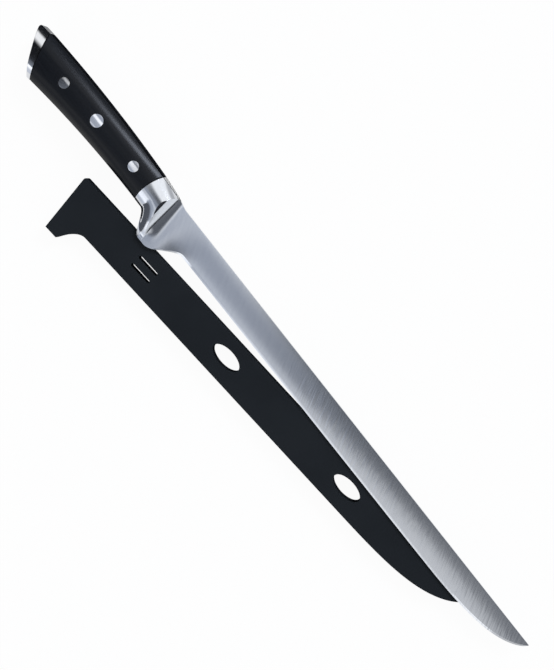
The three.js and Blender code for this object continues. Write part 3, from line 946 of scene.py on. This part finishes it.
def sheath_plate(name, node_name, low, sign):
    """A flat plate with windows, its outer edges rounded; sign says which side is outside."""
    bm = bmesh.new()
    edges = closed_loop(bm, sheath_outline())
    edges += window_loop(bm, NEAR_WINDOW_AT, WINDOW_DEPTH, WINDOW_LENGTH, WINDOW_WIDTH)
    edges += window_loop(bm, FAR_WINDOW_AT, WINDOW_DEPTH, WINDOW_LENGTH, WINDOW_WIDTH)
    edges += vent_loop(bm, WINDOW_DEPTH - VENT_PITCH / 2)
    edges += vent_loop(bm, WINDOW_DEPTH + VENT_PITCH / 2)
    bmesh.ops.triangle_fill(bm, edges=list(set(edges)), use_beauty=True)
    sheet = list(bm.faces)
    raised = bmesh.ops.extrude_face_region(bm, geom=sheet)["geom"]
    lifted = [item for item in raised if isinstance(item, bmesh.types.BMVert)]
    bmesh.ops.translate(bm, vec=(0, 0, sign * PLATE_THICKNESS), verts=lifted)
    outside = [item for item in raised if isinstance(item, bmesh.types.BMFace)]
    bmesh.ops.inset_region(bm, faces=outside, thickness=PLATE_EDGE * INSET_SHARE, use_even_offset=True)
    tidy_mesh(bm)
    rim = [
        edge for edge in bm.edges
        if edge.calc_face_angle(0) > RIM_CREASE
        and all(abs(vert.co.z) > PLATE_THICKNESS / 2 for vert in edge.verts)
    ]
    round_edges(bm, rim, PLATE_EDGE, ROUND_SEGMENTS)
    bmesh.ops.translate(bm, vec=(0, 0, low), verts=bm.verts)
    piece = finished(name, bm, SHEATH, SOFT_CREASE, [BLACK_PLASTIC])
    stands_for(piece, node_name, "sheath")


def dress_cad_node(name, material):
    """A solid whose shape is right keeps it and takes the finish."""
    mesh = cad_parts[name].data
    mesh.materials.clear()
    mesh.materials.append(material)


forged_blade()
end_cap()
handle_scale("right_scale", "handle_scale_right", 1)
handle_scale("left_scale", "handle_scale_left", -1)
for rivet_name, rivet_x, rivet_y, rivet_head in RIVETS:
    rivet_half(rivet_name + "_right_half", rivet_name + "_cup", rivet_x, rivet_y, rivet_head, 1)
    rivet_half(rivet_name + "_left_half", rivet_name + "_pin", rivet_x, rivet_y, rivet_head, -1)
sheath_plate("upper_sheath_plate", "sheath_front_plate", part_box("sheath_front_plate")[0].z, 1)
sheath_plate("lower_sheath_plate", "sheath_back_plate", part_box("sheath_back_plate")[1].z, -1)
dress_cad_node("sheath_spine_welt", BLACK_PLASTIC)
dress_cad_node("sheath_edge_welt", BLACK_PLASTIC)

# Floor, as white to the eye and in the metal as paper, with the shadows kept
FLOOR_SIZE = 20.0
FLOOR_DROP = 0.0002
FLOOR_WHITE = 0.95
FLOOR_COLOUR = (0.9, 0.9, 0.9, 1)
FLOOR_ROUGH = 0.9


def white_floor():
    bm = bmesh.new()
    bmesh.ops.create_grid(bm, x_segments=1, y_segments=1, size=FLOOR_SIZE / 2)
    material, tree, shader = new_finish("white_floor", Roughness=FLOOR_ROUGH)
    shader.inputs["Base Color"].default_value = FLOOR_COLOUR
    ray = node(tree, "ShaderNodeLightPath").outputs
    seen = math_of(tree, "MAXIMUM", ray["Is Camera Ray"], ray["Is Glossy Ray"])
    seen = math_of(tree, "MAXIMUM", seen, ray["Is Transmission Ray"])
    paper = node(tree, "ShaderNodeEmission").outputs["Emission"]
    share = math_of(tree, "MULTIPLY", seen, FLOOR_WHITE)
    mix = node(tree, "ShaderNodeMixShader", {0: share, 1: shader.outputs["BSDF"], 2: paper})
    tree.links.new(mix.outputs["Shader"], tree.nodes["Material Output"].inputs["Surface"])
    floor = finished("floor", bm, Matrix.Translation((0, 0, -FLOOR_DROP)), SOFT_CREASE, [material])


# Light, by direction: a dim cool room, a broad panel on either side, a bright strip and small panels
ROOM_COLOUR = (0.89, 0.97, 1.14, 1)
ROOM_GLOW = 0.12
ROOM_HANDLE_END = (-0.24, -0.12, 0.1)
ROOM_LOW = (-0.4, -0.55)
ROOM_TIP_END = (0.6, 0.25, 0.3)
SPINE_PANEL = (-0.12, 0.16)
SPINE_PANEL_STEP = (0.0, -0.06, 0.0, 0.32)
SPINE_PANEL_BACK = (-0.2, -0.25, 0.0, 0.12)
SPINE_PANEL_LEAN = -2.0
SPINE_PANEL_END = (1.25, 1.12)
SPINE_PANEL_TIP = (0.45, 0.25)
SPINE_TIP_LEAN = -0.6
SPINE_GLOW = 1.12
SPINE_PANEL_FOOT = (0.86, 0.96, 1.0, 0.45)
STRIP_AT = 0.77
STRIP_REACH = 0.18
STRIP_GLOW = 31.0
STRIP_ENDS = ((-0.18, 0.03), (0.08, 0.03))
STRIP_FOOT = (0.92, 0.84)
EDGE_PANEL_NEAR = (-0.26, -0.32)
EDGE_PANEL_FAR = (-0.14, -0.3)
EDGE_PANEL_TURN = (0.03, 0.12)
EDGE_GLOW = 0.68
LOW_PANEL = (-0.42, -0.62)
LOW_GLOW = 0.6
LOW_PANEL_FOOT = (-0.88, -0.97, 1.0, 0.5)
EDGE_PANEL_LEAN = -0.1
EDGE_PANEL_STEP = (-0.4, -0.33, 0.0, 0.14)
EDGE_PANEL_FLARE = (-0.7, -0.85, 0.0, 0.1)
EDGE_PANEL_ENDS = ((-0.02, 0.025), (0.45, 0.25))
EDGE_PANEL_REST = (-0.3, -0.45, 0.0, 0.5)
HEEL_PANEL = ((-0.2, -0.1), (0.08, -0.04))
HEEL_GAP = ((-0.18, -0.14), (-0.06, -0.02))
HEEL_GLOW = 0.37
RIVET_PANEL = ((-0.22, -0.15), (-0.01, -0.07))
RIVET_PANEL_TURN = 0.8
RIVET_PANEL_ENDS = ((-0.22, -0.17), (0.0, -0.025))
RIVET_GLOW = 0.8
TIP_PANEL = ((0.82, 0.88), (0.99, 0.95))
TIP_GLOW = 1.5
POINT_PANEL = ((-0.12, -0.165), (-0.33, -0.23))
POINT_PANEL_END = (0.1, 0.22)
POINT_GLOW = 0.17
BUTT_PANEL = (-0.62, -0.75)
BUTT_PANEL_SIDE = ((-0.42, -0.56), (-0.78, -0.68))
BUTT_GLOW = 0.8


def product(tree, *factors):
    value = factors[0]
    for factor in factors[1:]:
        value = math_of(tree, "MULTIPLY", value, factor)
    return value


def total(tree, *terms):
    value = terms[0]
    for term in terms[1:]:
        value = math_of(tree, "ADD", value, term)
    return value


def fades(tree, value, ends):
    return [ranged(tree, value, *end) for end in ends]


def room_light(tree, x, y):
    dim = math_of(tree, "MAXIMUM", ranged(tree, x, *ROOM_HANDLE_END), ranged(tree, y, *ROOM_LOW))
    return product(tree, ROOM_GLOW, dim, ranged(tree, x, *ROOM_TIP_END))


def spine_light(tree, x, y):
    """The broad panel on the spine's side of the picture."""
    across = math_of(tree, "SUBTRACT", y, ranged(tree, x, *SPINE_PANEL_STEP))
    across = total(tree, across, ranged(tree, x, *SPINE_PANEL_BACK))
    behind = total(tree, y, product(tree, x, SPINE_PANEL_LEAN))
    ahead = total(tree, x, product(tree, y, SPINE_TIP_LEAN))
    return product(
        tree, ranged(tree, across, *SPINE_PANEL, 0.0, SPINE_GLOW),
        ranged(tree, behind, *SPINE_PANEL_END), ranged(tree, ahead, *SPINE_PANEL_TIP),
        ranged(tree, y, *SPINE_PANEL_FOOT),
    )


def strip_light(tree, x, y):
    """The bright strip in the spine side's panel."""
    off_strip = math_of(tree, "ABSOLUTE", math_of(tree, "SUBTRACT", y, STRIP_AT), 0.0)
    glow = ranged(tree, off_strip, STRIP_REACH, 0.0, 0.0, STRIP_GLOW)
    return product(tree, glow, *fades(tree, x, STRIP_ENDS), ranged(tree, y, *STRIP_FOOT))


def heel_light(tree, x, y):
    gap_across, gap_along = HEEL_GAP
    gap = product(tree, ranged(tree, y, *gap_across), ranged(tree, x, *gap_along))
    return product(tree, HEEL_GLOW, *fades(tree, x, HEEL_PANEL), math_of(tree, "SUBTRACT", 1.0, gap))


def edge_light(tree, x, y, heel):
    """The broad panel on the edge's side of the picture, where it outshines the heel's light."""
    turn = ranged(tree, x, *EDGE_PANEL_TURN)
    stay = math_of(tree, "SUBTRACT", 1.0, turn)
    near = product(tree, ranged(tree, y, *EDGE_PANEL_NEAR, 0.0, EDGE_GLOW), stay)
    far = product(tree, ranged(tree, y, *EDGE_PANEL_FAR, 0.0, EDGE_GLOW), turn)
    low = ranged(tree, y, *LOW_PANEL, 0.0, LOW_GLOW)
    lean = total(tree, x, product(tree, y, EDGE_PANEL_LEAN), ranged(tree, y, *EDGE_PANEL_STEP))
    lean = total(tree, lean, ranged(tree, y, *EDGE_PANEL_FLARE))
    handle_end, tip_end = EDGE_PANEL_ENDS
    reach = math_of(tree, "MAXIMUM", ranged(tree, x, *tip_end), ranged(tree, y, *EDGE_PANEL_REST))
    foot = ranged(tree, y, *LOW_PANEL_FOOT)
    edge = product(tree, total(tree, near, far, low), ranged(tree, lean, *handle_end), reach, foot)
    return math_of(tree, "SUBTRACT", math_of(tree, "MAXIMUM", edge, heel), heel)


def rivet_light(tree, x, y):
    over = total(tree, y, product(tree, x, RIVET_PANEL_TURN))
    return product(tree, RIVET_GLOW, *fades(tree, over, RIVET_PANEL), *fades(tree, x, RIVET_PANEL_ENDS))


def blade_point_light(tree, x, y):
    return product(tree, POINT_GLOW, ranged(tree, x, *POINT_PANEL_END), *fades(tree, y, POINT_PANEL))


def butt_light(tree, x, y):
    side_along, side_across = BUTT_PANEL_SIDE
    side = product(tree, ranged(tree, x, *side_along), ranged(tree, y, *side_across))
    return product(tree, BUTT_GLOW, math_of(tree, "MAXIMUM", ranged(tree, x, *BUTT_PANEL), side))


def soft_panels():
    world = bpy.data.worlds.new("studio")
    bpy.context.scene.world = world
    world.use_nodes = True
    tree = world.node_tree
    toward = node(tree, "ShaderNodeTexCoord").outputs["Generated"]
    part = node(tree, "ShaderNodeSeparateXYZ", {"Vector": toward}).outputs
    x, y = part["X"], part["Y"]
    heel = heel_light(tree, x, y)
    tip = product(tree, TIP_GLOW, *fades(tree, x, TIP_PANEL))
    panels = total(
        tree, spine_light(tree, x, y), edge_light(tree, x, y, heel), rivet_light(tree, x, y),
        tip, blade_point_light(tree, x, y), butt_light(tree, x, y),
    )
    dim = total(tree, room_light(tree, x, y), heel, strip_light(tree, x, y))
    white = node(tree, "ShaderNodeBackground", {"Color": (1, 1, 1, 1), "Strength": panels})
    cool = node(tree, "ShaderNodeBackground", {"Color": ROOM_COLOUR, "Strength": dim})
    both = node(tree, "ShaderNodeAddShader", {0: white.outputs[0], 1: cool.outputs[0]})
    tree.links.new(both.outputs[0], tree.nodes["World Output"].inputs["Surface"])


# Camera: nearly overhead, leaning to the spine side, with the blade running down to the right
VIEW_TARGET = Vector((-0.0032, 0.0276, 0.01))
VIEW_DISTANCE = 1.01
VIEW_LEAN = math.radians(8)
VIEW_TURN = math.radians(51.53)
VIEW_HEIGHT = 0.3602
VIEW_CLIP = 0.01


def photo_camera():
    camera = bpy.data.cameras.new("camera")
    camera.lens = camera.sensor_width * VIEW_DISTANCE / VIEW_HEIGHT
    camera.clip_start = VIEW_CLIP
    holder = bpy.data.objects.new("camera", camera)
    bpy.context.scene.collection.objects.link(holder)
    turn = Matrix.Rotation(-VIEW_LEAN, 4, "X") @ Matrix.Rotation(VIEW_TURN, 4, "Z")
    back = turn @ Vector((0, 0, VIEW_DISTANCE))
    holder.matrix_world = Matrix.Translation(VIEW_TARGET + back) @ turn
    bpy.context.scene.camera = holder


white_floor()
soft_panels()
photo_camera()
bpy.context.scene.view_settings.view_transform = "Standard"
